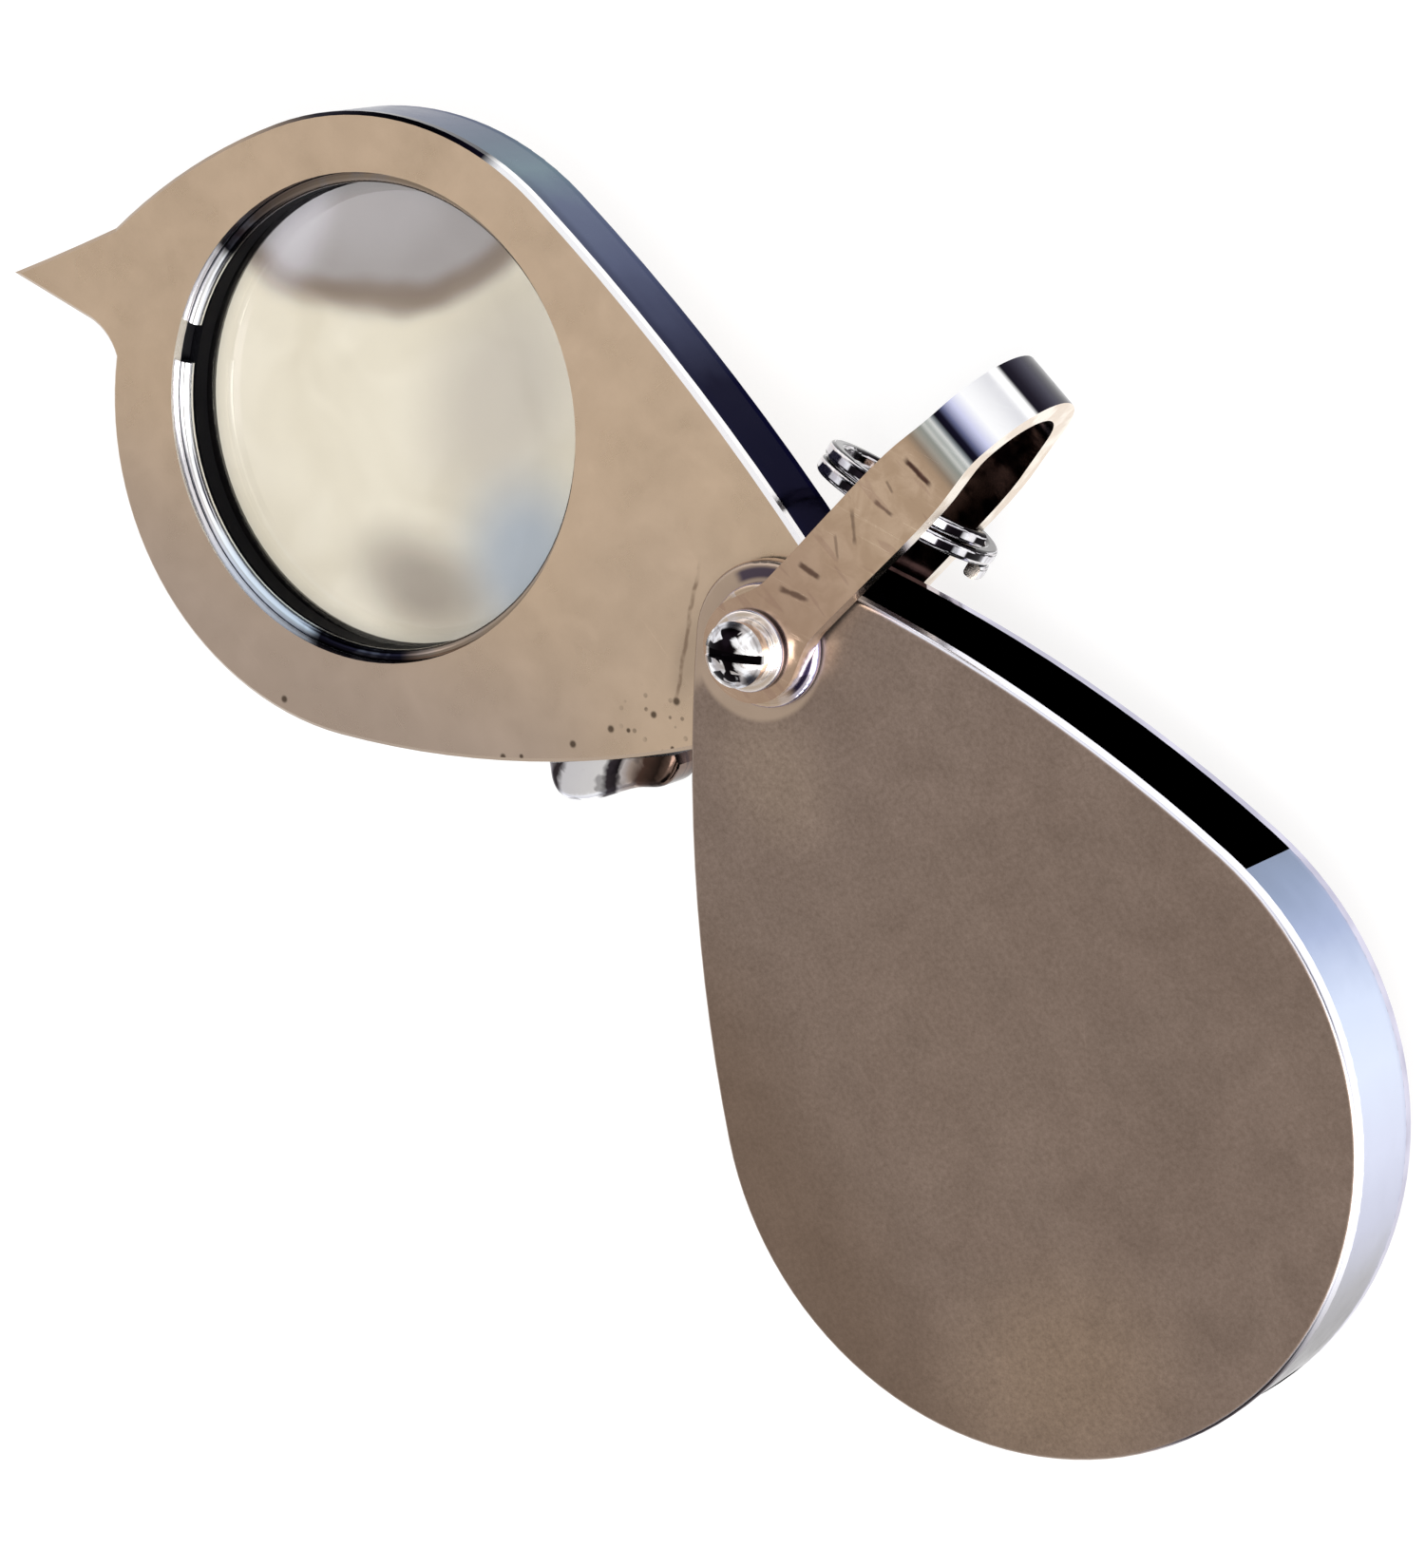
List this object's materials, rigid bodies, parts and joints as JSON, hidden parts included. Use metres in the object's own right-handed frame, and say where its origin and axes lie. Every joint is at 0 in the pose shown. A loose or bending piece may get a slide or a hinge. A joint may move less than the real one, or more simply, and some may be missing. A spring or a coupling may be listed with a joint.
{
  "type": "folding pocket loupe",
  "caption": "Folding pocket loupe: a framed lens with a pointed tab swings out of a slim drop-shaped metal case on a screw that also carries a strap bail and split ring.",
  "frame": {"origin": "on the pivot screw's axis, half way through the case's thickness", "axes": "+Z along the pivot screw, out of the case's front plate on the screw-head side; +X along the case's centre line from the pivot to its wide end; the lens frame is shown open"},
  "size_m": [0.0654, 0.0401, 0.0115],
  "materials": {
    "case_plate": "polished nickel plate with fine wear",
    "case_rim": "polished nickel plate",
    "lens_frame_plate": "polished nickel plate, warm tone",
    "lens_frame_rim": "polished nickel plate",
    "bail_chrome": "polished nickel plate, handling scratches",
    "screw_chrome": "bright chrome",
    "washer_steel": "thin spring steel",
    "bush_brass": "turned brass",
    "spacer_black": "blackened, dull",
    "lens_glass": "clear polished optical glass"
  },
  "bodies": {
    "case": {"case_front_plate": "case_plate", "case_back_plate": "case_plate", "case_wall": "case_rim", "pivot_screw": "screw_chrome", "screw_washer": "screw_chrome", "pivot_nut": "screw_chrome", "pivot_bush": "bush_brass", "front_friction_washer": "washer_steel", "rear_friction_washer": "washer_steel", "front_bail_washer": "screw_chrome", "rear_bail_washer": "screw_chrome"},
    "bail": {"bail_strap": "bail_chrome"},
    "split_ring": {"bail_split_ring": "bail_chrome"},
    "lens_frame": {"lens_frame_front_plate": "lens_frame_plate", "lens_frame_back_plate": "lens_frame_plate", "lens_frame_band": "lens_frame_rim", "lens_frame_boss": "washer_steel", "thumb_lug": "screw_chrome", "lens_cell": "lens_frame_rim", "lens": "lens_glass", "lens_spacer": "spacer_black", "lens_retaining_ring": "screw_chrome"}
  },
  "joints": [
    {"name": "lens_swing", "type": "hinge", "parent": "case", "child": "lens_frame", "pos_m": [0, 0, 0], "axis": [0, 0, 1], "range_deg": [0, 143]},
    {"name": "bail_swing", "type": "hinge", "parent": "case", "child": "bail", "pos_m": [0, 0, 0], "axis": [0, 0, 1], "range_deg": [-11, 8]},
    {"name": "ring_slide", "type": "slide", "parent": "bail", "child": "split_ring", "axis": [-0.2079, 0.9781, 0], "range_m": [0, 0.003]}
  ]
}
